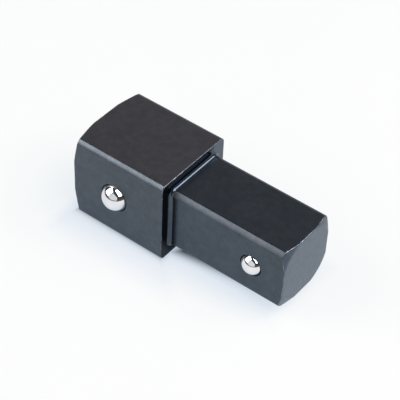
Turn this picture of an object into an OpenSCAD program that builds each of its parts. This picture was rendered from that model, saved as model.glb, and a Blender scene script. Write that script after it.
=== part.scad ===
// Square-drive step-down adapter: a one-piece steel bar that steps from a large drive square
// to a smaller one, with a spring-loaded detent ball in one face of each square.
// +X runs along the drive axis from the large end to the small end, the balls look along -Y,
// and +Z is up. The origin is the middle of the large end face, on the drive axis.

/* [Large drive square] */
// Side of the large drive square, a 1 inch drive
large_side = 25.4; // [23.5:0.1:32]
// Length from the shoulder to the large end
large_length = 29.25; // [26:0.25:36]
// Radius of the long edges of the large square
large_edge_radius = 1.5; // [0.8:0.1:2.5]
// Diameter of the flat disc that the end chamfer leaves on the large end
large_end_disc_diameter = 26.8; // [23:0.1:29]

/* [Small drive square] */
// Side of the small drive square, a 3/4 inch drive
small_side = 19.05; // [17:0.05:20.5]
// Length from the shoulder to the small end
small_length = 35.5; // [30:0.25:38]
// Radius of the long edges of the small square
small_edge_radius = 1.75; // [0.8:0.05:2.5]
// Diameter of the flat disc that the end chamfer leaves on the small end
small_end_disc_diameter = 20.1; // [17.5:0.1:22]

/* [Turned features] */
// Angle between an end face and its turned chamfer, in degrees
end_chamfer_angle = 18.5; // [12:0.5:35]
// Radius of the fillet between the shoulder and the small square
root_fillet_radius = 1.1; // [0.6:0.1:2]
// Width of the edge break round the shoulder
shoulder_edge_break = 0.2; // [0.1:0.05:0.35]

/* [Large detent] */
// Diameter of the large detent ball
large_ball_diameter = 7.94; // [7:0.02:8.4]
// Depth of the large ball's centre below its face, at rest
large_ball_sunk = 1.05; // [0.6:0.05:1.5]
// Distance from the large end to the middle of its ball
large_ball_from_end = 13.5; // [11:0.5:16]
// Depth of the large pocket's straight wall
large_pocket_depth = 11.5; // [11:0.1:13]
// Wire diameter of the large spring
large_wire_diameter = 0.7; // [0.5:0.05:0.8]
// Gap between the large spring and its pocket's wall
large_spring_wall_gap = 0.5; // [0.3:0.05:0.7]

/* [Small detent] */
// Diameter of the small detent ball
small_ball_diameter = 6.35; // [5.6:0.05:6.6]
// Depth of the small ball's centre below its face, at rest
small_ball_sunk = 1.4; // [0.8:0.05:1.6]
// Distance from the small end to the middle of its ball
small_ball_from_end = 9.9; // [8:0.1:12]
// Depth of the small pocket's straight wall
small_pocket_depth = 8.6; // [8.2:0.1:9.2]
// Wire diameter of the small spring
small_wire_diameter = 0.5; // [0.4:0.05:0.55]
// Gap between the small spring and its pocket's wall
small_spring_wall_gap = 0.4; // [0.3:0.05:0.6]

/* [Detent fits] */
// Radial running clearance of a ball in its pocket
ball_clearance = 0.06; // [0.05:0.01:0.1]
// Radial gap between a ball at rest and the staked lip that holds it
lip_clearance = 0.04; // [0.02:0.01:0.05]
// Depth over which the pocket wall closes in to the lip
lip_depth = 0.5; // [0.3:0.05:0.6]
// Gap between a spring and what it bears on
spring_seat_gap = 0.02; // [0.01:0.01:0.05]
// Full point angle of the drill that made the pockets, in degrees
drill_point_angle = 118; // [100:1:140]
// Number of curls in a detent spring
spring_curls = 4.5; // [3.5:0.5:5]

/* [Hidden] */
$fn = 64;
rings_per_curl = 8;
wire_sides = 6;
steel_black = [0.16, 0.17, 0.19];
steel_chrome = [0.86, 0.87, 0.9];
steel_spring = [0.55, 0.56, 0.58];
shoulder_step = (large_side - small_side) / 2;
fillet_radius = min(root_fillet_radius, shoulder_step);
pocket_point_half_angle = drill_point_angle / 2;
small_ball_x = large_length + small_length - small_ball_from_end;
large_face_y = -large_side / 2;
small_face_y = -small_side / 2;

// Radius of a pocket's straight wall
function pocket_radius(ball_d) = ball_d / 2 + ball_clearance;

// Radius of the lip at a pocket's mouth, just clear of the resting ball
function lip_radius(ball_d, sunk) = sqrt(pow(ball_d / 2, 2) - pow(sunk, 2)) + lip_clearance;

// Mean radius of a spring's curls
function curl_radius(ball_d, wire_d, wall_gap) = pocket_radius(ball_d) - wall_gap - wire_d / 2;

// Radius at the middle of the straight run between two of a spring's rings
function run_radius(curl_r) = curl_r * cos(180 / rings_per_curl);

// Depth of a spring's first ring, where its first run bears on the back of the resting ball
function spring_top(ball_d, sunk, wire_d, curl_r) =
    sunk + sqrt(pow(ball_d / 2 + wire_d / 2 + spring_seat_gap, 2) - pow(run_radius(curl_r), 2));

// Depth of a spring's last ring, where its wire bears on the pocket's drill point
function spring_bottom(ball_d, pocket_depth, wire_d, curl_r) =
    pocket_depth
    + (pocket_radius(ball_d) - curl_r) / tan(pocket_point_half_angle)
    - (wire_d / 2 + spring_seat_gap) / sin(pocket_point_half_angle);

// Centres of a spring's rings, with z as the depth below the face
function spring_path(top, bottom, curl_r) =
    let (steps = round(spring_curls * rings_per_curl))
    [for (i = [0:steps])
        [
            curl_r * cos(360 * i / rings_per_curl),
            curl_r * sin(360 * i / rings_per_curl),
            top + (bottom - top) * i / steps,
        ]];

// A direction with its length set to one
function unit(v) = v / norm(v);

// Points of the wire's ring at step i of a path, square to the path
function wire_ring(path, i, wire_d) =
    let (
        before = path[max(i - 1, 0)],
        after = path[min(i + 1, len(path) - 1)],
        along = unit(after - before),
        outward = unit([path[i].x, path[i].y, 0]),
        across = unit(cross(along, outward)),
        side = cross(across, along)
    )
    [for (k = [0:wire_sides - 1])
        path[i] + wire_d / 2 * (cos(360 * k / wire_sides) * side + sin(360 * k / wire_sides) * across)];

// Triangles of the wire's wall between rings i and i + 1
function wall_faces(i) =
    [for (k = [0:wire_sides - 1], half = [0, 1])
        let (
            next = (k + 1) % wire_sides,
            a = i * wire_sides + k,
            b = i * wire_sides + next,
            c = a + wire_sides,
            d = b + wire_sides
        )
        half == 0 ? [a, c, b] : [b, c, d]];

// Least gap between one curl's wire and the next, measured on the path's points
function least_gap(path, wire_d) =
    min([for (i = [0:len(path) - rings_per_curl], j = [i + rings_per_curl - 1:len(path) - 1])
        norm(path[j] - path[i])]) - wire_d;

// Square with round corners, centred on the origin
module rounded_square(side, radius) {
    square([side - 2 * radius, side], center = true);
    square([side, side - 2 * radius], center = true);
    for (x = [-1, 1], y = [-1, 1])
        translate([x * (side / 2 - radius), y * (side / 2 - radius)])
            circle(r = radius);
}

// Turned envelope of a drive square from the shoulder to its end, with the end chamfer
module turned_envelope(side, length, disc_d) {
    corner_r = side / sqrt(2);
    chamfer_depth = (corner_r - disc_d / 2) * tan(end_chamfer_angle);
    rotate_extrude($fn = 128)
        polygon([
            [0, 0],
            [corner_r, 0],
            [corner_r, length - chamfer_depth],
            [disc_d / 2, length],
            [0, length],
        ]);
}

// Drive square that stands on the shoulder plane along +Z
module drive_square(side, length, edge_radius, disc_d) {
    intersection() {
        linear_extrude(height = length)
            rounded_square(side, edge_radius);
        turned_envelope(side, length, disc_d);
    }
}

// Sweeps a section round a rounded square. Its x counts outwards from the wall, its y along +Z
module swept_round(side, radius) {
    straight = side - 2 * radius;
    for (quarter = [0:3])
        rotate([0, 0, 90 * quarter])
            translate([straight / 2, 0, 0]) {
                translate([radius, straight / 2, 0])
                    rotate([90, 0, 0])
                        linear_extrude(height = straight)
                            children();
                translate([0, straight / 2, 0])
                    rotate_extrude(angle = 90)
                        translate([radius, 0])
                            children();
            }
}

// Section of the root fillet: a square with its far corner hollowed away, sunk into the steel
module fillet_section() {
    sink = small_edge_radius / 2;
    difference() {
        translate([-sink, -sink])
            square(fillet_radius + sink);
        translate([fillet_radius, fillet_radius])
            circle(r = fillet_radius);
    }
}

// Section of the cut that breaks the shoulder's edge
module edge_break_section() {
    width = shoulder_edge_break;
    polygon([[-2 * width, -width], [width, -width], [width, 2 * width]]);
}

// Pocket cutter with its mouth at the origin: lip, straight wall and drill point along +Z
module ball_pocket(ball_d, sunk, depth) {
    wall_r = pocket_radius(ball_d);
    lip_r = lip_radius(ball_d, sunk);
    rotate_extrude()
        polygon([
            [0, -lip_depth],
            [lip_r, -lip_depth],
            [lip_r, 0],
            [wall_r, lip_depth],
            [wall_r, depth],
            [0, depth + wall_r / tan(pocket_point_half_angle)],
        ]);
}

// Places a child drawn along +Z so that it runs inwards from a point on a -Y face
module from_face(x, face_y) {
    translate([x, face_y, 0])
        rotate([-90, 0, 0])
            children();
}

// Stands children drawn along +Z on the shoulder plane, so that they run towards +X or -X
module from_shoulder(towards) {
    translate([large_length, 0, 0])
        rotate([0, 90 * towards, 0])
            children();
}

// Ball whose centre lies at a depth below the face
module detent_ball(ball_d, sunk) {
    translate([0, 0, sunk])
        sphere(d = ball_d);
}

// Helical spring as one unbroken tube along its path
module detent_spring(path, wire_d) {
    last = (len(path) - 1) * wire_sides;
    polyhedron(
        points = [for (i = [0:len(path) - 1]) each wire_ring(path, i, wire_d)],
        faces = [
            for (i = [0:len(path) - 2]) each wall_faces(i),
            for (k = [1:wire_sides - 2]) [0, k, k + 1],
            for (k = [1:wire_sides - 2]) [last, last + k + 1, last + k],
        ]
    );
}

module adapter_body() {
    color(steel_black)
        difference() {
            union() {
                from_shoulder(-1)
                    difference() {
                        drive_square(large_side, large_length, large_edge_radius, large_end_disc_diameter);
                        swept_round(large_side, large_edge_radius)
                            edge_break_section();
                    }
                from_shoulder(1) {
                    drive_square(small_side, small_length, small_edge_radius, small_end_disc_diameter);
                    swept_round(small_side, small_edge_radius)
                        fillet_section();
                }
            }
            from_face(large_ball_from_end, large_face_y)
                ball_pocket(large_ball_diameter, large_ball_sunk, large_pocket_depth);
            from_face(small_ball_x, small_face_y)
                ball_pocket(small_ball_diameter, small_ball_sunk, small_pocket_depth);
        }
}

module large_detent_ball() {
    color(steel_chrome)
        from_face(large_ball_from_end, large_face_y)
            detent_ball(large_ball_diameter, large_ball_sunk);
}

module large_detent_spring() {
    curl_r = curl_radius(large_ball_diameter, large_wire_diameter, large_spring_wall_gap);
    top = spring_top(large_ball_diameter, large_ball_sunk, large_wire_diameter, curl_r);
    bottom = spring_bottom(large_ball_diameter, large_pocket_depth, large_wire_diameter, curl_r);
    path = spring_path(top, bottom, curl_r);
    echo(large_spring_least_gap = least_gap(path, large_wire_diameter));
    color(steel_spring)
        from_face(large_ball_from_end, large_face_y)
            detent_spring(path, large_wire_diameter);
}

module small_detent_ball() {
    color(steel_chrome)
        from_face(small_ball_x, small_face_y)
            detent_ball(small_ball_diameter, small_ball_sunk);
}

module small_detent_spring() {
    curl_r = curl_radius(small_ball_diameter, small_wire_diameter, small_spring_wall_gap);
    top = spring_top(small_ball_diameter, small_ball_sunk, small_wire_diameter, curl_r);
    bottom = spring_bottom(small_ball_diameter, small_pocket_depth, small_wire_diameter, curl_r);
    path = spring_path(top, bottom, curl_r);
    echo(small_spring_least_gap = least_gap(path, small_wire_diameter));
    color(steel_spring)
        from_face(small_ball_x, small_face_y)
            detent_spring(path, small_wire_diameter);
}

adapter_body();
large_detent_ball();
large_detent_spring();
small_detent_ball();
small_detent_spring();
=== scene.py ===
"""Dresses the square-drive step-down adapter: blackened steel bar, detent balls and springs."""

import math

import bmesh
import bpy
from mathutils import Matrix, Vector, noise


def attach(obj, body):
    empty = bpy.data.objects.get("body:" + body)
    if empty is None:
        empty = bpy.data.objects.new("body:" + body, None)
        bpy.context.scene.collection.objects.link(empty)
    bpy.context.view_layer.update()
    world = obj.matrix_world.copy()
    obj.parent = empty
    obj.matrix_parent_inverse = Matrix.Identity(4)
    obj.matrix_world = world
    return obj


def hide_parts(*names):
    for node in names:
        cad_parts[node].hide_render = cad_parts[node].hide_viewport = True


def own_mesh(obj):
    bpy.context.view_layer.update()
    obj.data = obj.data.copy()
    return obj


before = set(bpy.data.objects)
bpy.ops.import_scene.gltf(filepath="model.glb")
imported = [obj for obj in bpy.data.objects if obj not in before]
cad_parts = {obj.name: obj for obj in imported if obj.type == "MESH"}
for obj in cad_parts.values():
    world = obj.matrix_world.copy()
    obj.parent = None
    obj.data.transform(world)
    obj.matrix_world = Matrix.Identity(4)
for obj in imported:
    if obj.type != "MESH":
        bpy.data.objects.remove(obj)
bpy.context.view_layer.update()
scene = bpy.context.scene
MM = 0.001

# Sizes of the bar in millimetres, as in the solid model
LARGE_SIDE = 25.4
LARGE_LENGTH = 29.25
LARGE_EDGE_RADIUS = 1.5
LARGE_DISC_RADIUS = 13.4
SMALL_SIDE = 19.05
SMALL_LENGTH = 35.5
SMALL_EDGE_RADIUS = 1.75
SMALL_DISC_RADIUS = 10.05
CHAMFER = math.radians(18.5)
FILLET = 1.1
TOTAL_LENGTH = LARGE_LENGTH + SMALL_LENGTH
BALL_CLEARANCE = 0.06
LIP_DEPTH = 0.5
DRILL_HALF_ANGLE = math.radians(59)
SEAT_GAP = 0.02

# Sizes of each detent: ball, its place, pocket, spring wire and the face it looks out of
LARGE_DETENT = {
    "ball": 7.94, "sunk": 1.05, "x": 13.5, "face": -LARGE_SIDE / 2, "pocket": 11.5,
    "wire": 0.7, "wall_gap": 0.5, "travel": 2.9,
}
SMALL_DETENT = {
    "ball": 6.35, "sunk": 1.4, "x": TOTAL_LENGTH - 9.9, "face": -SMALL_SIDE / 2, "pocket": 8.6,
    "wire": 0.5, "wall_gap": 0.4, "travel": 1.75,
}

# Fine forms in millimetres: rounds of the shoulder's and the ends' edges, and chips of the ends' edges
BREAK_RADIUS = 0.27
EDGE_ROUND = 0.16
LARGE_CHIPS = 0.06
SMALL_CHIPS = 0.15
CHIP_FREQUENCIES = (0.9, 2.7)
CHIP_SHARES = (1.0, 0.6)
CHIP_START = 0.12
CHIP_SIDEWAYS = 0.6

# Wear of the edges, where 1 is the shoulder's
DISC_WEAR = 0.6
END_WEAR = 1.12
SHOULDER_WEAR = 1.0
SHOULDER_FOOT_WEAR = 0.3

# Turn of each long edge's face to each side of 45 degrees, from the lower -Y edge on; 45 is a quarter round
EDGE_SPREADS = [math.radians(turn) for turn in (20, 40, 40, 20)]

# Rings of the staking round a ball: millimetres past the lip's crest, millimetres below the face, wear
CREST_DEPTH = 0.28
CREST_GAP = 0.045
STAKING = [
    (0.60, 0.0, 0.0), (0.42, 0.0, 0.0), (0.30, 0.006, 0.1), (0.24, 0.016, 0.3), (0.20, 0.035, 0.5),
    (0.175, 0.08, 0.4), (0.165, 0.18, 0.0), (0.155, 0.30, 0.0), (0.14, 0.39, 0.0), (0.115, 0.42, 0.0),
    (0.09, 0.40, 0.0), (0.05, 0.34, 0.0), (0.015, 0.29, 0.0), (0.0, CREST_DEPTH, 0.0),
]

# Rings behind the crest: millimetres below the face, and the gap to the resting ball
LIP_BACK = [(0.36, 0.05), (LIP_DEPTH, 0.06)]

# Rings of a pocket's wall: depth of the first, then shares of the wall's depth and of the drill point's
WALL_STARTS = LIP_DEPTH + 0.12
WALL_RINGS = (0.2, 0.5, 0.8, 1.0)
POINT_RINGS = (0.34, 0.67)

# Mesh divisions of the bar, with those of the flats before and after each ball's window
FLAT_STEPS = 64
CORNER_STEPS = 10
COLUMNS = 4 * (FLAT_STEPS + CORNER_STEPS)
DISC_STEPS = 16
DISC_EDGE_STEPS = 2
CHAMFER_STEPS = 8
END_EDGE_STEPS = 5
BREAK_STEPS = 6
SHOULDER_STEPS = 6
FILLET_STEPS = 14
LARGE_FLAT_STEPS = (10, 24)
SMALL_FLAT_STEPS = (50, 16)

# Window of even faces round each ball, in steps along the bar and to each side of the flat's middle
WINDOW_STEPS = 34
LARGE_WINDOW = 17
SMALL_WINDOW = 18
WINDOW_RINGS = (0.3, 0.6, 0.85, 1.0)

# Lengths in millimetres, and steps, over which the flats lead away from an end's uneven edge
LARGE_LEAD = 3.0
LARGE_LEAD_STEPS = 5
SMALL_LEAD = 2.0
SMALL_LEAD_STEPS = 8

# Divisions of the balls and springs
BALL_STEPS = 26
WIRE_SIDES = 14
TURN_STEPS = 40

# Turns of a spring, and the pitch of its closed turns in wire diameters
CLOSED_TURNS = 0.9
FREE_TURNS = 4.2
CLOSED_PITCH = 1.02

# Distances in metres at which points merge
BAR_MERGE = 1e-4 * MM
BALL_MERGE = 1e-3 * MM

# How far large faces rule the bar's normals, where 50 is neutral and 100 is the most
LARGE_FACE_WEIGHT = 100

# Tones of the black oxide on each part of the bar, some of them painted sheen and shade, and of the bare
# steel under it
BASE_TONES = [(0.30, (0.052, 0.069, 0.088)), (0.70, (0.064, 0.081, 0.102))]
GRAIN_TONE = (0.07, 0.08, 0.095)
SPECK_TONE = (0.20, 0.20, 0.22)
# Painted sheen: the ends and their chamfers lighter and bluer, as where they mirror the bright floor
END_SHEEN_TONE = (0.104, 0.142, 0.192)
LARGE_TONE = (0.10, 0.115, 0.135)
# Painted sheen: the large square's top lighter and warmer, as where it mirrors the room
LARGE_TOP_SHEEN_TONE = (0.117, 0.115, 0.134)
# Painted highlight along the round long edges
LONG_EDGE_HIGHLIGHT_TONE = (0.12, 0.13, 0.142)
# Painted reflections on the shoulder: dark shade where it mirrors the small square, paler on its far side
# where it mirrors the room, and a tint that dims its glancing reflection
SHOULDER_REFLECTION_TONES = [(0.0, (0.017, 0.021, 0.025)), (1.0, (0.13, 0.158, 0.19))]
SHOULDER_SHADE_TINT = (0.65, 0.65, 0.65)
BARE_TONE = (0.26, 0.25, 0.255)
BARE_SHARE = 0.8
FULL = (1.0, 1.0, 1.0)

# Ranges of noise that make the worn edges, the specks and the mottling
RUBBED = [(0.50, 0.0), (0.66, 1.0)]
SPECKS = [(0.72, 0.0), (0.84, 1.0)]
MOTTLE = [(0.34, 0.91), (0.66, 1.09)]

# Roughness of the smoothest oxide, and shares of grinding streaks and turned rings in its relief
SMOOTHEST = 0.07
STREAKS_SHARE = 0.8
RINGS_SHARE = 0.15

# Tones and roughness of the balls and the wire, and tones of the floor
BALL_TONES = [(0.3, (0.74, 0.75, 0.78)), (0.7, (0.84, 0.85, 0.88))]
BALL_ROUGHNESS = [(0.35, 0.035), (0.75, 0.11)]
WIRE_TONES = [(0.3, (0.40, 0.41, 0.43)), (0.7, (0.58, 0.59, 0.60))]
WIRE_ROUGHNESS = [(0.3, 0.22), (0.8, 0.42)]
FLOOR_TONES = [(0.3, (0.78, 0.65, 0.44)), (0.7, (0.82, 0.67, 0.48))]

# Lengths on the bar in metres that its finish, painted sheen and painted shade turn on
RING_PITCH = 0.28 * MM
END_SKIN = 0.15 * MM
CHAMFER_REACH = 4.0 * MM
SHOULDER_SKIN = 0.03 * MM
BEFORE_SHOULDER = 0.02 * MM
FAR_SIDE_STARTS = 6.5 * MM
FAR_SIDE_WIDTH = 2.5 * MM

# Least part of a direction along an axis that faces it, and how sharply the long edges' masks begin
FACING = 0.9
BEND_GAIN = 8.0

# Share of the floor's brightness that glows, which the lamps' shadows leave alone and only the painted
# shadow darkens
FLOOR_GLOW = 0.85

# Glow of the open floor, and the part of it that the painted shadow leaves at distances in millimetres
# outside its core
OPEN_FLOOR = (0.841, 0.909, 0.976)
PAINTED_SHADOW = [
    (-2.5, (0, 0, 0)), (0, (0.66, 0.71, 0.78)), (0.8, (0.80, 0.84, 0.90)), (2, (0.86, 0.895, 0.955)),
    (5, (0.89, 0.925, 0.975)), (8, (0.95, 0.965, 0.99)), (12, (1, 1, 1)),
]

# Painted shadow of the small square in millimetres: half its length, half its width at the shoulder, and
# its taper
SMALL_PAINTED_SHADOW_HALF = 13.0
SMALL_PAINTED_SHADOW_ASIDE = 9.0
SMALL_PAINTED_SHADOW_TAPER = 0.14

# How much faster the large square's painted shadow fades past its end than beside it
END_FADE = 3.0


def finished(name, bm, material, body):
    """Turns a bmesh into a piece that rides on a body."""
    mesh = bpy.data.meshes.new(name)
    bmesh.ops.recalc_face_normals(bm, faces=bm.faces)
    for face in bm.faces:
        face.smooth = True
    bm.to_mesh(mesh)
    bm.free()
    mesh.materials.append(material)
    piece = bpy.data.objects.new(name, mesh)
    scene.collection.objects.link(piece)
    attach(piece, body)
    return piece


# Materials

def adder(tree):
    """A function that adds nodes to a tree, with numbers or links on their inputs."""
    def add(kind, inputs=None, **settings):
        made = tree.nodes.new("ShaderNode" + kind)
        for key, value in settings.items():
            setattr(made, key, value)
        for key, value in (inputs or {}).items():
            if isinstance(value, bpy.types.NodeSocket):
                tree.links.new(value, made.inputs[key])
            else:
                made.inputs[key].default_value = value
        return made

    return add


def shader(name, colour, metallic, roughness, **constants):
    """New material with a principled shader, and a function that adds linked nodes to it."""
    material = bpy.data.materials.new(name)
    material.use_nodes = True
    tree = material.node_tree
    tree.nodes.clear()
    add = adder(tree)
    base = {"Base Color": (*colour, 1), "Metallic": metallic, "Roughness": roughness}
    surface = add("BsdfPrincipled", base)
    for key, value in constants.items():
        surface.inputs[key.replace("_", " ")].default_value = value
    add("OutputMaterial", {"Surface": surface.outputs[0]})
    return material, tree, add, surface


def ramp(add, factor, stops):
    """Colour ramp through (position, value or colour) stops."""
    made = add("ValToRGB", {"Fac": factor})
    elements = made.color_ramp.elements
    while len(elements) < len(stops):
        elements.new(0.5)
    for element, (position, value) in zip(elements, stops):
        element.position = position
        element.color = (*value, 1) if isinstance(value, tuple) else (value, value, value, 1)
    return made.outputs["Color"]


def blend(add, factor, first, second):
    """Mix of two colours, by the numbers of the node's colour sockets."""
    made = add("Mix", {}, data_type="RGBA")
    tree = made.id_data
    for key, value in ((0, factor), (6, first), (7, second)):
        if isinstance(value, bpy.types.NodeSocket):
            tree.links.new(value, made.inputs[key])
        else:
            made.inputs[key].default_value = (*value, 1) if isinstance(value, tuple) else value
    return made.outputs[2]


def sums(add, operation, first, second=0.0, clamp=False):
    """Arithmetic on two values."""
    return add("Math", {0: first, 1: second}, operation=operation, use_clamp=clamp).outputs[0]


def black_oxide():
    """Satin black oxide on machined steel, with turned marks at the ends, bare steel on worn edges, and
    painted sheen and shade on some faces.
    """
    material, tree, add, surface = shader("black_oxide_steel", (0.06, 0.08, 0.1), 1.0, 0.2)
    place = add("TexCoord").outputs["Object"]
    split = add("SeparateXYZ", {0: place})
    normal = add("SeparateXYZ", {0: add("TexCoord").outputs["Normal"]})
    cloud = add("TexNoise", {"Vector": place, "Scale": 170.0, "Detail": 3.0, "Roughness": 0.6})
    grain = add("TexNoise", {"Vector": place, "Scale": 2600.0, "Detail": 3.0, "Roughness": 0.65})
    stretched = add("Mapping", {"Vector": place, "Scale": (60.0, 900.0, 900.0)})
    streaks = {"Vector": stretched.outputs[0], "Scale": 3.0, "Detail": 4.0, "Roughness": 0.7}
    ground = add("TexNoise", streaks)

    # Rings that the lathe leaves on the two ends
    yy = sums(add, "MULTIPLY", split.outputs["Y"], split.outputs["Y"])
    zz = sums(add, "MULTIPLY", split.outputs["Z"], split.outputs["Z"])
    from_axis = sums(add, "SQRT", sums(add, "ADD", yy, zz))
    rings = sums(add, "SINE", sums(add, "MULTIPLY", from_axis, 2 * math.pi / RING_PITCH))
    far_end = sums(add, "GREATER_THAN", split.outputs["X"], TOTAL_LENGTH * MM - END_SKIN)
    near_end = sums(add, "LESS_THAN", split.outputs["X"], END_SKIN)
    on_end = sums(add, "MAXIMUM", far_end, near_end)
    turned = sums(add, "MULTIPLY", rings, on_end)

    # Parts of the bar, by place and by the way that they face
    facing = {axis: sums(add, "ABSOLUTE", normal.outputs[axis]) for axis in "XYZ"}
    facing_out = sums(add, "GREATER_THAN", facing["X"], FACING)
    past_flats = sums(add, "GREATER_THAN", split.outputs["X"], TOTAL_LENGTH * MM - CHAMFER_REACH)
    on_chamfer = sums(add, "MULTIPLY", facing_out, past_flats)
    on_large = sums(add, "LESS_THAN", split.outputs["X"], LARGE_LENGTH * MM - BEFORE_SHOULDER)
    on_small = sums(add, "GREATER_THAN", split.outputs["X"], (LARGE_LENGTH + FILLET) * MM)
    # Top of the large square, which gets a painted sheen
    facing_up = sums(add, "GREATER_THAN", normal.outputs["Z"], FACING)
    large_top = sums(add, "MULTIPLY", facing_up, on_large)

    # Shoulder, painted blacker than the flats as shade where it mirrors the small square, and paler on its
    # far side where it mirrors the room
    shoulder = {0: split.outputs["X"], 1: LARGE_LENGTH * MM, 2: SHOULDER_SKIN}
    on_shoulder = add("Math", shoulder, operation="COMPARE").outputs[0]
    past_middle = sums(add, "SUBTRACT", split.outputs["Y"], FAR_SIDE_STARTS)
    far_side = sums(add, "MULTIPLY", past_middle, 1 / FAR_SIDE_WIDTH)
    painted_shoulder_reflection = ramp(add, far_side, SHOULDER_REFLECTION_TONES)

    # Round long edges, where no single axis holds the surface's direction; they get a painted highlight and
    # more roughness
    across = sums(add, "MAXIMUM", facing["Y"], facing["Z"])
    bend = sums(add, "SUBTRACT", 1.0, sums(add, "ADD", across, facing["X"]))
    bend = sums(add, "MULTIPLY", bend, BEND_GAIN, clamp=True)
    large_bend = sums(add, "MULTIPLY", bend, on_large)
    small_bend = sums(add, "MULTIPLY", bend, on_small)

    # Edges where the finish has rubbed through, and bright specks
    edge = add("Attribute", attribute_name="edge").outputs["Fac"]
    rub = add("TexNoise", {"Vector": place, "Scale": 420.0, "Detail": 4.0, "Roughness": 0.7})
    rubbed = ramp(add, sums(add, "MULTIPLY", edge, rub.outputs["Fac"]), RUBBED)
    dots = add("TexNoise", {"Vector": place, "Scale": 900.0, "Detail": 2.0})
    speck = ramp(add, dots.outputs["Fac"], SPECKS)

    # Tone of each part over the base, by its share, some of it painted sheen and shade, then mottling and
    # bare steel
    oxide = ramp(add, cloud.outputs["Fac"], BASE_TONES)
    layers = (
        (grain.outputs["Fac"], 0.25, GRAIN_TONE), (speck, 0.04, SPECK_TONE), (on_chamfer, 0.3, END_SHEEN_TONE),
        (on_end, 0.5, END_SHEEN_TONE), (on_large, 0.25, LARGE_TONE), (large_top, 0.6, LARGE_TOP_SHEEN_TONE),
        (bend, 0.5, LONG_EDGE_HIGHLIGHT_TONE), (on_shoulder, 0.85, painted_shoulder_reflection),
    )
    for where, share, tone in layers:
        oxide = blend(add, sums(add, "MULTIPLY", where, share), oxide, tone)
    blotch = add("TexNoise", {"Vector": place, "Scale": 520.0, "Detail": 2.0, "Roughness": 0.6})
    mottle = ramp(add, blotch.outputs["Fac"], MOTTLE)
    oxide = add("VectorMath", {0: oxide, "Scale": mottle}, operation="SCALE").outputs["Vector"]
    colour = blend(add, sums(add, "MULTIPLY", rubbed, BARE_SHARE), oxide, BARE_TONE)
    tree.links.new(colour, surface.inputs["Base Color"])
    # Painted shade: the shoulder's glancing reflection dimmed
    glancing_shade = blend(add, on_shoulder, FULL, SHOULDER_SHADE_TINT)
    tree.links.new(glancing_shade, surface.inputs["Specular Tint"])

    # Roughness that each part adds to the smoothest finish
    rough = SMOOTHEST
    parts = (
        (cloud.outputs["Fac"], 0.06), (grain.outputs["Fac"], 0.08), (on_large, 0.17), (on_small, 0.12),
        (large_bend, 0.14), (small_bend, 0.30), (rubbed, 0.22),
    )
    for where, amount in parts:
        rough = sums(add, "ADD", sums(add, "MULTIPLY", where, amount), rough)
    tree.links.new(rough, surface.inputs["Roughness"])

    # Relief of the grain, the grinding streaks and the turned rings
    lines = sums(add, "MULTIPLY", ground.outputs["Fac"], STREAKS_SHARE)
    height = sums(add, "ADD", grain.outputs["Fac"], lines)
    height = sums(add, "ADD", height, sums(add, "MULTIPLY", turned, RINGS_SHARE))
    bump = add("Bump", {"Height": height, "Strength": 0.14, "Distance": 0.03 * MM})
    tree.links.new(bump.outputs[0], surface.inputs["Normal"])
    return material


def ball_steel():
    """Polished ball with faint scuffs."""
    material, tree, add, surface = shader("ball_steel", (0.80, 0.81, 0.84), 1.0, 0.06)
    place = add("TexCoord").outputs["Object"]
    scuff = add("TexNoise", {"Vector": place, "Scale": 900.0, "Detail": 5.0, "Roughness": 0.7})
    smear = add("TexNoise", {"Vector": place, "Scale": 260.0, "Detail": 2.0})
    colour = ramp(add, smear.outputs["Fac"], BALL_TONES)
    tree.links.new(colour, surface.inputs["Base Color"])
    rough = ramp(add, scuff.outputs["Fac"], BALL_ROUGHNESS)
    tree.links.new(rough, surface.inputs["Roughness"])
    bump = add("Bump", {"Height": scuff.outputs["Fac"], "Strength": 0.05, "Distance": 0.01 * MM})
    tree.links.new(bump.outputs[0], surface.inputs["Normal"])
    return material


def spring_steel():
    """Drawn spring wire."""
    material, tree, add, surface = shader("spring_steel", (0.5, 0.51, 0.53), 1.0, 0.3)
    place = add("TexCoord").outputs["Object"]
    drawn = add("TexNoise", {"Vector": place, "Scale": 1500.0, "Detail": 4.0, "Roughness": 0.6})
    colour = ramp(add, drawn.outputs["Fac"], WIRE_TONES)
    tree.links.new(colour, surface.inputs["Base Color"])
    rough = ramp(add, drawn.outputs["Fac"], WIRE_ROUGHNESS)
    tree.links.new(rough, surface.inputs["Roughness"])
    bump = add("Bump", {"Height": drawn.outputs["Fac"], "Strength": 0.15, "Distance": 0.02 * MM})
    tree.links.new(bump.outputs[0], surface.inputs["Normal"])
    return material


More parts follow.
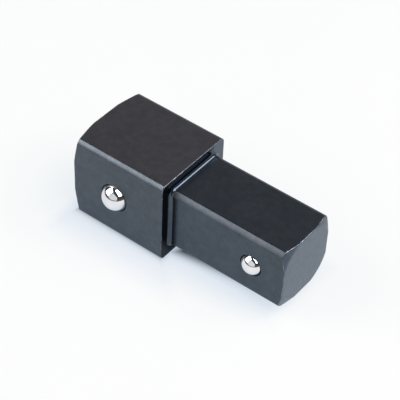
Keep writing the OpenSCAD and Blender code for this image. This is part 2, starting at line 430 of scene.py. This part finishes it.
def pale_floor():
    """Matt white sheet kept pale by a glow where the camera, gloss or glass sees it, with a painted shadow
    round the object in the glow.
    """
    material, tree, add, surface = shader("pale_floor", (0.6, 0.6, 0.6), 0.0, 0.8, IOR=1.3)
    place = add("TexCoord").outputs["Object"]
    patch = add("TexNoise", {"Vector": place, "Scale": 18.0, "Detail": 2.0})
    colour = ramp(add, patch.outputs["Fac"], FLOOR_TONES)
    tree.links.new(colour, surface.inputs["Base Color"])
    path = add("LightPath")
    seen = sums(add, "MAXIMUM", path.outputs["Is Camera Ray"], path.outputs["Is Glossy Ray"])
    seen = sums(add, "MAXIMUM", seen, path.outputs["Is Transmission Ray"])

    # Distance in millimetres outside the painted shadow's core, which narrows from the shoulder to the
    # small end
    split = add("SeparateXYZ", {0: place})
    along = sums(add, "DIVIDE", split.outputs["X"], MM)
    aside = sums(add, "DIVIDE", sums(add, "ABSOLUTE", split.outputs["Y"]), MM)
    from_middle = sums(add, "ABSOLUTE", sums(add, "SUBTRACT", along, SMALL_PAINTED_SHADOW_HALF))
    past_small = sums(add, "SUBTRACT", from_middle, SMALL_PAINTED_SHADOW_HALF)
    narrowed = sums(add, "ADD", aside, sums(add, "MULTIPLY", along, SMALL_PAINTED_SHADOW_TAPER))
    beside_small = sums(add, "SUBTRACT", narrowed, SMALL_PAINTED_SHADOW_ASIDE)
    past_end = sums(add, "MULTIPLY", sums(add, "SUBTRACT", -LARGE_LENGTH, along), END_FADE)
    beside_large = sums(add, "SUBTRACT", aside, LARGE_SIDE / 2)
    inside = sums(add, "MINIMUM", sums(add, "MAXIMUM", past_end, beside_large), 0.0)
    end_gap = sums(add, "POWER", sums(add, "MAXIMUM", past_end, 0.0), 2.0)
    side_gap = sums(add, "POWER", sums(add, "MAXIMUM", beside_large, 0.0), 2.0)
    round_corner = sums(add, "ADD", sums(add, "SQRT", sums(add, "ADD", end_gap, side_gap)), inside)
    outside_small = sums(add, "MAXIMUM", past_small, beside_small)
    outside_large = sums(add, "MAXIMUM", along, round_corner)
    outside = sums(add, "MINIMUM", outside_small, outside_large)
    nearest = PAINTED_SHADOW[0][0]
    farthest = PAINTED_SHADOW[-1][0]
    span = farthest - nearest
    reach = sums(add, "DIVIDE", sums(add, "SUBTRACT", outside, nearest), span)
    stops = [
        ((far - nearest) / span, tuple(part * full for part, full in zip(shade, OPEN_FLOOR)))
        for far, shade in PAINTED_SHADOW
    ]
    share = sums(add, "MULTIPLY", seen, FLOOR_GLOW)
    # Glow darkened round the object by the painted shadow
    painted_shadow_glow = add("Emission", {"Color": ramp(add, reach, stops), "Strength": 1.0})
    mixed = add("MixShader", {0: share, 1: surface.outputs[0], 2: painted_shadow_glow.outputs[0]})
    output = next(n for n in tree.nodes if n.type == "OUTPUT_MATERIAL")
    tree.links.new(mixed.outputs[0], output.inputs["Surface"])
    return material


# The bar

def spaced(start, stop, steps):
    """Steps from start, left out, to stop."""
    return [start + (stop - start) * step / steps for step in range(1, steps + 1)]


def outline(side, radius):
    """Points round a square with worn edges, from the -Y face on, and their outward directions."""
    points = []
    normals = []

    # Distance from its corner at which each edge begins, so that it is cut as deep as a quarter round
    widths = [radius * (2 - math.sqrt(2)) / (1 - math.tan(spread / 2)) for spread in EDGE_SPREADS]

    for quarter in range(4):
        angle = math.pi + quarter * math.pi / 2
        normal = Vector((math.cos(angle), math.sin(angle)))
        along = Vector((-normal.y, normal.x))
        start = widths[quarter - 1] - side / 2
        stop = side / 2 - widths[quarter]
        for step in range(FLAT_STEPS + 1):
            points.append(normal * side / 2 + along * (start + (stop - start) * step / FLAT_STEPS))
            normals.append(normal)
        spread = EDGE_SPREADS[quarter]
        arc_radius = widths[quarter] / math.sqrt(2) / math.sin(spread)
        middle = normal * side / 2 + along * stop
        middle = middle.lerp(normal * stop + along * side / 2, 0.5)
        centre = middle - (normal + along).normalized() * arc_radius * math.cos(spread)
        for step in range(1, CORNER_STEPS):
            part = step / CORNER_STEPS
            turn = angle + math.pi / 4 + spread * (2 * part - 1)
            points.append(centre + Vector((math.cos(turn), math.sin(turn))) * arc_radius)
            outward = angle + math.pi / 2 * part
            normals.append(Vector((math.cos(outward), math.sin(outward))))
    return points, normals


def end_section(reach, disc_radius):
    """Section of an end from its axis out to the flat: (in from the end face, out from the axis, edge)."""
    sine = math.sin(CHAMFER)
    cosine = math.cos(CHAMFER)

    # Centres of the rounds on the disc's edge and on the flat's edge
    first = Vector((EDGE_ROUND, disc_radius - EDGE_ROUND * (1 - cosine) / sine))
    second = Vector((((reach - EDGE_ROUND - disc_radius) * sine + EDGE_ROUND) / cosine, reach - EDGE_ROUND))

    # Where the flat cuts into the disc, the two rounds fall together
    if second.x <= EDGE_ROUND:
        first = Vector((EDGE_ROUND, reach - EDGE_ROUND))
        second = first.copy()

    section = [(0.0, out, 0.0) for out in spaced(0.0, first.y, DISC_STEPS)]

    def arc(centre, start, stop, steps, edge):
        for turn in spaced(start, stop, steps):
            depth = centre.x - EDGE_ROUND * math.cos(turn)
            out = centre.y + EDGE_ROUND * math.sin(turn)
            section.append((depth, out, edge))

    arc(first, 0.0, CHAMFER, DISC_EDGE_STEPS, DISC_WEAR)
    outward = Vector((-cosine, sine)) * EDGE_ROUND
    for part in spaced(0.0, 1.0, CHAMFER_STEPS):
        spot = first.lerp(second, part) + outward
        section.append((spot.x, spot.y, 0.0))
    arc(second, CHAMFER, math.pi / 2, END_EDGE_STEPS, END_WEAR)
    return section


def chipped(spot, edge, inward, chips):
    """A place on a worn edge, set back by small chips."""
    if edge < END_WEAR:
        return spot
    rough = sum(share * noise.noise(spot * often) for share, often in zip(CHIP_SHARES, CHIP_FREQUENCIES))
    depth = chips * max(0.0, rough - CHIP_START)
    out = Vector((0, spot.y, spot.z)).normalized()
    return spot + Vector((inward * depth, 0, 0)) - out * depth * CHIP_SIDEWAYS


def end_rows(points, disc_radius, end_x, inward, chips):
    """Rows of an end from the axis to its flats, and how far in the last row of each column lies."""
    sections = [end_section(point.length, disc_radius) for point in points]
    rows = []
    for step in range(len(sections[0])):
        row = []
        for point, section in zip(points, sections):
            spot = point.normalized() * section[step][1]
            place = Vector((end_x + inward * section[step][0], spot.x, spot.y))
            row.append((chipped(place, section[step][2], inward, chips), section[step][2]))
        rows.append(row)
    return rows, [section[-1][0] for section in sections]


def straight_row(points, x):
    """Row of a drive square at one place along the axis."""
    return [(Vector((x, point.x, point.y)), 0.0) for point in points]


def eased_rows(points, depths, end_x, inward, reach, steps):
    """Rows that lead from an end's uneven edge to a straight row."""
    rows = []
    for part in spaced(0.0, 1.0, steps):
        rows.append([
            (Vector((end_x + inward * (depth + (reach - depth) * part), point.x, point.y)), 0.0)
            for point, depth in zip(points, depths)
        ])
    return rows


def pocket_profile(detent):
    """Rings of a ball pocket from the face down: (radius, depth below the face, edge)."""
    ball_r = detent["ball"] / 2
    wall = ball_r + BALL_CLEARANCE
    tip = detent["pocket"] + wall / math.tan(DRILL_HALF_ANGLE)
    depth = detent["pocket"]

    def ball_at(below):
        return math.sqrt(ball_r ** 2 - (detent["sunk"] - below) ** 2)

    crest = ball_at(CREST_DEPTH) + CREST_GAP
    rings = [(crest + past, below, edge) for past, below, edge in STAKING]
    rings += [(ball_at(below) + gap, below, 0.0) for below, gap in LIP_BACK]
    rings.append((wall, WALL_STARTS, 0.0))
    rings += [(wall, depth * part, 0.0) for part in WALL_RINGS]
    rings += [(wall * (1 - part), depth + (tip - depth) * part, 0.0) for part in POINT_RINGS]
    rings.append((0.0, tip, 0.0))
    return rings


def add_pocket(bm, edge_layer, grid, top, bottom, detent, window):
    """Fills a window in the -Y face with rings that lead down into a ball pocket."""
    left = FLAT_STEPS // 2 - window
    right = FLAT_STEPS // 2 + window
    loop = [grid[top][c] for c in range(left, right)]
    loop += [grid[r][right] for r in range(top, bottom)]
    loop += [grid[bottom][c] for c in range(right, left, -1)]
    loop += [grid[r][left] for r in range(bottom, top, -1)]
    profile = pocket_profile(detent)
    rim = profile[0][0]
    rings = [loop]
    for part in WINDOW_RINGS:
        ring = []
        for corner in loop:
            across = Vector((corner.co.x / MM - detent["x"], corner.co.z / MM))
            spot = across.lerp(across.normalized() * rim, part)
            ring.append(bm.verts.new(Vector((detent["x"] + spot.x, detent["face"], spot.y)) * MM))
        rings.append(ring)
    for radius, depth, edge in profile[1:-1]:
        ring = []
        for corner in rings[len(WINDOW_RINGS)]:
            across = Vector((corner.co.x / MM - detent["x"], corner.co.z / MM)).normalized() * radius
            made = bm.verts.new(Vector((detent["x"] + across.x, detent["face"] + depth, across.y)) * MM)
            made[edge_layer] = edge
            ring.append(made)
        rings.append(ring)
    for outer, inner in zip(rings, rings[1:]):
        for i in range(len(loop)):
            j = (i + 1) % len(loop)
            bm.faces.new((outer[i], outer[j], inner[j], inner[i]))
    tip = bm.verts.new(Vector((detent["x"], detent["face"] + profile[-1][1], 0)) * MM)
    for i in range(len(loop)):
        bm.faces.new((rings[-1][i], rings[-1][(i + 1) % len(loop)], tip))


def build_bar(material):
    """The whole steel bar as one closed mesh."""
    large, large_normals = outline(LARGE_SIDE, LARGE_EDGE_RADIUS)
    small, small_normals = outline(SMALL_SIDE, SMALL_EDGE_RADIUS)
    rows, depths = end_rows(large, LARGE_DISC_RADIUS, 0.0, 1, LARGE_CHIPS)
    rows += eased_rows(large, depths, 0.0, 1, LARGE_LEAD, LARGE_LEAD_STEPS)

    # Flats of the large square, with even rows across the ball's window
    half = LARGE_WINDOW * (LARGE_SIDE - 2 * LARGE_EDGE_RADIUS) / FLAT_STEPS
    for x in spaced(LARGE_LEAD, LARGE_DETENT["x"] - half, LARGE_FLAT_STEPS[0]):
        rows.append(straight_row(large, x))
    large_top = len(rows) - 1
    for x in spaced(LARGE_DETENT["x"] - half, LARGE_DETENT["x"] + half, WINDOW_STEPS):
        rows.append(straight_row(large, x))
    large_bottom = len(rows) - 1
    for x in spaced(LARGE_DETENT["x"] + half, LARGE_LENGTH - BREAK_RADIUS, LARGE_FLAT_STEPS[1]):
        rows.append(straight_row(large, x))

    # Rounded shoulder edge, shoulder and root fillet
    wear = [SHOULDER_WEAR] * (BREAK_STEPS - 1) + [SHOULDER_FOOT_WEAR]
    for turn, edge in zip(spaced(0.0, math.pi / 2, BREAK_STEPS), wear):
        x = LARGE_LENGTH - BREAK_RADIUS * (1 - math.sin(turn))
        inset = BREAK_RADIUS * (1 - math.cos(turn))
        rows.append([
            (Vector((x, *(point - normal * inset))), edge)
            for point, normal in zip(large, large_normals)
        ])
    for part in spaced(0.0, 1.0, SHOULDER_STEPS):
        row = []
        for p, n, q, m in zip(large, large_normals, small, small_normals):
            spot = (p - n * BREAK_RADIUS).lerp(q + m * FILLET, part)
            row.append((Vector((LARGE_LENGTH, *spot)), 0.0))
        rows.append(row)
    for turn in spaced(0.0, math.pi / 2, FILLET_STEPS):
        x = LARGE_LENGTH + FILLET * (1 - math.cos(turn))
        out = FILLET * (1 - math.sin(turn))
        rows.append([(Vector((x, *(q + m * out))), 0.0) for q, m in zip(small, small_normals)])

    # Flats of the small square
    half = SMALL_WINDOW * (SMALL_SIDE - 2 * SMALL_EDGE_RADIUS) / FLAT_STEPS
    for x in spaced(LARGE_LENGTH + FILLET, SMALL_DETENT["x"] - half, SMALL_FLAT_STEPS[0]):
        rows.append(straight_row(small, x))
    small_top = len(rows) - 1
    for x in spaced(SMALL_DETENT["x"] - half, SMALL_DETENT["x"] + half, WINDOW_STEPS):
        rows.append(straight_row(small, x))
    small_bottom = len(rows) - 1
    for x in spaced(SMALL_DETENT["x"] + half, TOTAL_LENGTH - SMALL_LEAD, SMALL_FLAT_STEPS[1]):
        rows.append(straight_row(small, x))
    end, depths = end_rows(small, SMALL_DISC_RADIUS, TOTAL_LENGTH, -1, SMALL_CHIPS)
    lead = eased_rows(small, depths, TOTAL_LENGTH, -1, SMALL_LEAD, SMALL_LEAD_STEPS)
    rows += list(reversed(lead[:-1]))
    rows += list(reversed(end))

    bm = bmesh.new()
    edge_layer = bm.verts.layers.float.new("edge")
    grid = []
    for row in rows:
        line = []
        for spot, edge in row:
            made = bm.verts.new(spot * MM)
            made[edge_layer] = edge
            line.append(made)
        grid.append(line)
    windows = ((large_top, large_bottom, LARGE_WINDOW), (small_top, small_bottom, SMALL_WINDOW))
    middle = FLAT_STEPS // 2
    for r in range(len(grid) - 1):
        for c in range(COLUMNS):
            if any(top <= r < bottom and middle - w <= c < middle + w for top, bottom, w in windows):
                continue
            d = (c + 1) % COLUMNS
            bm.faces.new((grid[r][c], grid[r][d], grid[r + 1][d], grid[r + 1][c]))
    for line, x in ((grid[0], 0.0), (grid[-1], TOTAL_LENGTH)):
        centre = bm.verts.new(Vector((x, 0, 0)) * MM)
        for c in range(COLUMNS):
            bm.faces.new((line[c], line[(c + 1) % COLUMNS], centre))
    add_pocket(bm, edge_layer, grid, large_top, large_bottom, LARGE_DETENT, LARGE_WINDOW)
    add_pocket(bm, edge_layer, grid, small_top, small_bottom, SMALL_DETENT, SMALL_WINDOW)

    # Points inside the windows, which the pockets leave without faces
    loose = [v for v in bm.verts if not v.link_faces]
    bmesh.ops.delete(bm, geom=loose, context="VERTS")
    bmesh.ops.remove_doubles(bm, verts=bm.verts, dist=BAR_MERGE)
    piece = finished("adapter_steel", bm, material, "adapter")
    even = piece.modifiers.new("even_normals", "WEIGHTED_NORMAL")
    even.weight = LARGE_FACE_WEIGHT
    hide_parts("adapter_body")


# Balls and springs

def build_ball(name, detent, material, body, node):
    """Ball with an even grid of faces."""
    radius = detent["ball"] / 2
    centre = Vector((detent["x"], detent["face"] + detent["sunk"], 0))
    bm = bmesh.new()
    for axis in range(3):
        for side in (-1, 1):
            grid = []
            for i in range(BALL_STEPS + 1):
                line = []
                for j in range(BALL_STEPS + 1):
                    u = math.tan(math.pi / 4 * (2 * i / BALL_STEPS - 1))
                    v = math.tan(math.pi / 4 * (2 * j / BALL_STEPS - 1))
                    spot = [0.0, 0.0, 0.0]
                    spot[axis] = side
                    spot[(axis + 1) % 3] = u
                    spot[(axis + 2) % 3] = v
                    line.append(bm.verts.new((centre + Vector(spot).normalized() * radius) * MM))
                grid.append(line)
            for i in range(BALL_STEPS):
                for j in range(BALL_STEPS):
                    bm.faces.new((grid[i][j], grid[i + 1][j], grid[i + 1][j + 1], grid[i][j + 1]))
    bmesh.ops.remove_doubles(bm, verts=bm.verts, dist=BALL_MERGE)
    piece = finished(name, bm, material, body)
    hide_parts(node)


def build_spring(name, detent, material, node):
    """Compression spring with closed, ground ends, between its ball and the pocket's drill point."""
    wire = detent["wire"] / 2
    ball_r = detent["ball"] / 2
    wall = ball_r + BALL_CLEARANCE
    curl = wall - detent["wall_gap"] - wire
    top = detent["sunk"] + math.sqrt((ball_r + wire + SEAT_GAP) ** 2 - curl ** 2)
    bottom = (detent["pocket"] + (wall - curl) / math.tan(DRILL_HALF_ANGLE)
              - (wire + SEAT_GAP) / math.sin(DRILL_HALF_ANGLE))
    closed_drop = CLOSED_TURNS * detent["wire"] * CLOSED_PITCH
    turns = 2 * CLOSED_TURNS + FREE_TURNS
    path = []
    for i in range(round(turns * TURN_STEPS) + 1):
        turn = i / TURN_STEPS
        opened = turn - CLOSED_TURNS
        if opened < 0:
            depth = top + closed_drop * turn / CLOSED_TURNS
        elif opened < FREE_TURNS:
            depth = top + closed_drop + (bottom - top - 2 * closed_drop) * opened / FREE_TURNS
        else:
            depth = bottom - closed_drop * (turns - turn) / CLOSED_TURNS
        angle = 2 * math.pi * turn
        path.append(Vector((
            detent["x"] + curl * math.cos(angle),
            detent["face"] + depth,
            curl * math.sin(angle),
        )))

    # Planes at which the ends are ground flat
    low = detent["face"] + top - wire / 2
    high = detent["face"] + bottom + wire / 2
    bm = bmesh.new()
    rings = []
    for i, spot in enumerate(path):
        along = (path[min(i + 1, len(path) - 1)] - path[max(i - 1, 0)]).normalized()
        out = Vector((spot.x - detent["x"], 0, spot.z)).normalized()
        across = along.cross(out).normalized()
        out = across.cross(along)
        ring = []
        for k in range(WIRE_SIDES):
            turn = 2 * math.pi * k / WIRE_SIDES
            point = spot + (out * math.cos(turn) + across * math.sin(turn)) * wire
            point.y = min(max(point.y, low), high)
            ring.append(bm.verts.new(point * MM))
        rings.append(ring)
    for first, second in zip(rings, rings[1:]):
        for k in range(WIRE_SIDES):
            j = (k + 1) % WIRE_SIDES
            bm.faces.new((first[k], first[j], second[j], second[k]))
    bm.faces.new(rings[0])
    bm.faces.new(list(reversed(rings[-1])))
    piece = finished(name, bm, material, "adapter")
    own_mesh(piece)
    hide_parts(node)


build_bar(black_oxide())
ball_material = ball_steel()
spring_material = spring_steel()
build_ball("large_ball_polished", LARGE_DETENT, ball_material, "large_ball", "large_detent_ball")
build_ball("small_ball_polished", SMALL_DETENT, ball_material, "small_ball", "small_detent_ball")
build_spring("large_spring_wire", LARGE_DETENT, spring_material, "large_detent_spring")
build_spring("small_spring_wire", SMALL_DETENT, spring_material, "small_detent_spring")

# Floor, with its object coordinates counted from under the shoulder
FLOOR_Z = -LARGE_SIDE / 2 * MM
FLOOR_REACH = 4.0
bm = bmesh.new()
bmesh.ops.create_grid(bm, x_segments=8, y_segments=8, size=FLOOR_REACH)
floor_mesh = bpy.data.meshes.new("floor")
bm.to_mesh(floor_mesh)
bm.free()
floor_mesh.materials.append(pale_floor())
floor = bpy.data.objects.new("floor", floor_mesh)
floor.location = (LARGE_LENGTH * MM, 0, FLOOR_Z)
scene.collection.objects.link(floor)

# Lights
TARGET = Vector((LARGE_LENGTH * MM, 0, 0))


def softbox(name, spot, facing, width, height, radiance, colour=(1, 1, 1), spin=0.0):
    """Area light at a spot in metres from the shoulder, with its back toward a direction."""
    data = bpy.data.lights.new(name, "AREA")
    data.shape = "RECTANGLE"
    data.size = width
    data.size_y = height
    data.energy = radiance * math.pi * width * height
    data.color = colour
    lamp = bpy.data.objects.new(name, data)
    lamp.location = TARGET + Vector(spot)
    turned = Vector(facing).to_track_quat("Z", "Y").to_matrix() @ Matrix.Rotation(spin, 3, "Z")
    lamp.rotation_euler = turned.to_euler()
    lamp.visible_camera = False
    scene.collection.objects.link(lamp)


softbox("left_softbox", (-0.875, -0.733, 0.91), facing=(-0.68, -0.38, 0.63), width=1.08, height=1.26,
        radiance=5.0, spin=math.radians(13))
softbox("overhead_softbox", (1.28, 0.39, 1.40), facing=(0, 0, 1), width=2.04, height=2.2,
        radiance=6.9, colour=(1.0, 0.96, 1.0), spin=math.radians(-20))
softbox("back_panel", (-0.40, 1.28, 0.88), facing=(-0.25, 0.80, 0.55), width=2.4, height=1.3,
        radiance=0.40, colour=(1.0, 0.90, 0.86))

# Room: dark, with a grey cloth in front, a pale backdrop low behind and a dim wall behind on the right
CLOTH = [
    (-0.49, -0.845, 0.20), (0.04, -1.0, 0.075), (0.655, -0.75, 0.10), (0.65, -0.60, 0.47),
    (-0.07, -0.555, 0.83),
]
CLOTH_TONE = (0.80, 0.82, 0.82)
CLOTH_SOFTNESS = 0.03
BACKDROP_STARTS = 0.55
BACKDROP_HEIGHTS = [(0.12, 1.0), (0.34, 0.0)]
BACKDROP_TONE = (0.78, 0.80, 0.80)
WALL = (0.79, 0.60, 0.08)
WALL_SPREAD = [(0.86, 0.0), (0.93, 1.0)]
WALL_TONE = (0.34, 0.35, 0.40)
DARK_TONES = [(0.0, (0.16, 0.13, 0.12)), (0.35, (0.055, 0.05, 0.052))]
SEEN_TONE = (0.95, 0.96, 0.97)
world = bpy.data.worlds.new("studio")
scene.world = world
world.use_nodes = True
world.node_tree.nodes.clear()
add = adder(world.node_tree)
toward = add("TexCoord").outputs["Generated"]
parts = add("SeparateXYZ", {0: toward})
height = parts.outputs["Z"]
room = ramp(add, height, DARK_TONES)
cloth = None
for first, second in zip(CLOTH, CLOTH[1:] + CLOTH[:1]):
    inward = Vector(first).cross(Vector(second)).normalized()
    away = add("VectorMath", {0: toward, 1: inward}, operation="DOT_PRODUCT").outputs["Value"]
    side = sums(add, "MULTIPLY", away, 1 / CLOTH_SOFTNESS, clamp=True)
    cloth = side if cloth is None else sums(add, "MULTIPLY", cloth, side)
behind = sums(add, "GREATER_THAN", parts.outputs["Y"], BACKDROP_STARTS)
backdrop = sums(add, "MULTIPLY", behind, ramp(add, height, BACKDROP_HEIGHTS))
room = blend(add, backdrop, room, BACKDROP_TONE)
wall_inputs = {0: toward, 1: Vector(WALL).normalized()}
wall_side = add("VectorMath", wall_inputs, operation="DOT_PRODUCT").outputs["Value"]
room = blend(add, ramp(add, wall_side, WALL_SPREAD), room, WALL_TONE)
seen = add("LightPath").outputs["Is Camera Ray"]
shade = blend(add, cloth, room, CLOTH_TONE)

# Pale room where the camera sees it past the floor's edge
shade = blend(add, seen, shade, SEEN_TONE)
sky = add("Background", {"Color": shade})
add("OutputWorld", {"Surface": sky.outputs[0]})

# Camera, with its distance and offsets in millimetres from the shoulder's middle
HALF_FRAME_PIXELS = 200
AZIMUTH = math.radians(35.933)
ELEVATION = math.radians(43.851)
ROLL = math.radians(-2.754)
DISTANCE = 386.32
FOCAL_PIXELS = 1500
SIDEWAYS = -1.91
UPWARD = 0.29
right = Vector((math.cos(AZIMUTH), math.sin(AZIMUTH), 0))
ahead = Vector((
    -math.sin(AZIMUTH) * math.cos(ELEVATION),
    math.cos(AZIMUTH) * math.cos(ELEVATION),
    -math.sin(ELEVATION),
))
up = right.cross(ahead)
right_rolled = right * math.cos(ROLL) - up * math.sin(ROLL)
up_rolled = right * math.sin(ROLL) + up * math.cos(ROLL)
camera_data = bpy.data.cameras.new("camera")
camera_data.sensor_fit = "HORIZONTAL"
camera_data.angle_x = 2 * math.atan(HALF_FRAME_PIXELS / FOCAL_PIXELS)
camera_data.clip_start = 0.01
camera_data.clip_end = 50
camera = bpy.data.objects.new("camera", camera_data)
scene.collection.objects.link(camera)
place = Vector((LARGE_LENGTH, 0, 0)) - right_rolled * SIDEWAYS - up_rolled * UPWARD - ahead * DISTANCE
turn = Matrix((right_rolled, up_rolled, -ahead)).transposed().to_4x4()
camera.matrix_world = Matrix.Translation(place * MM) @ turn
scene.camera = camera
scene.view_settings.view_transform = "Standard"
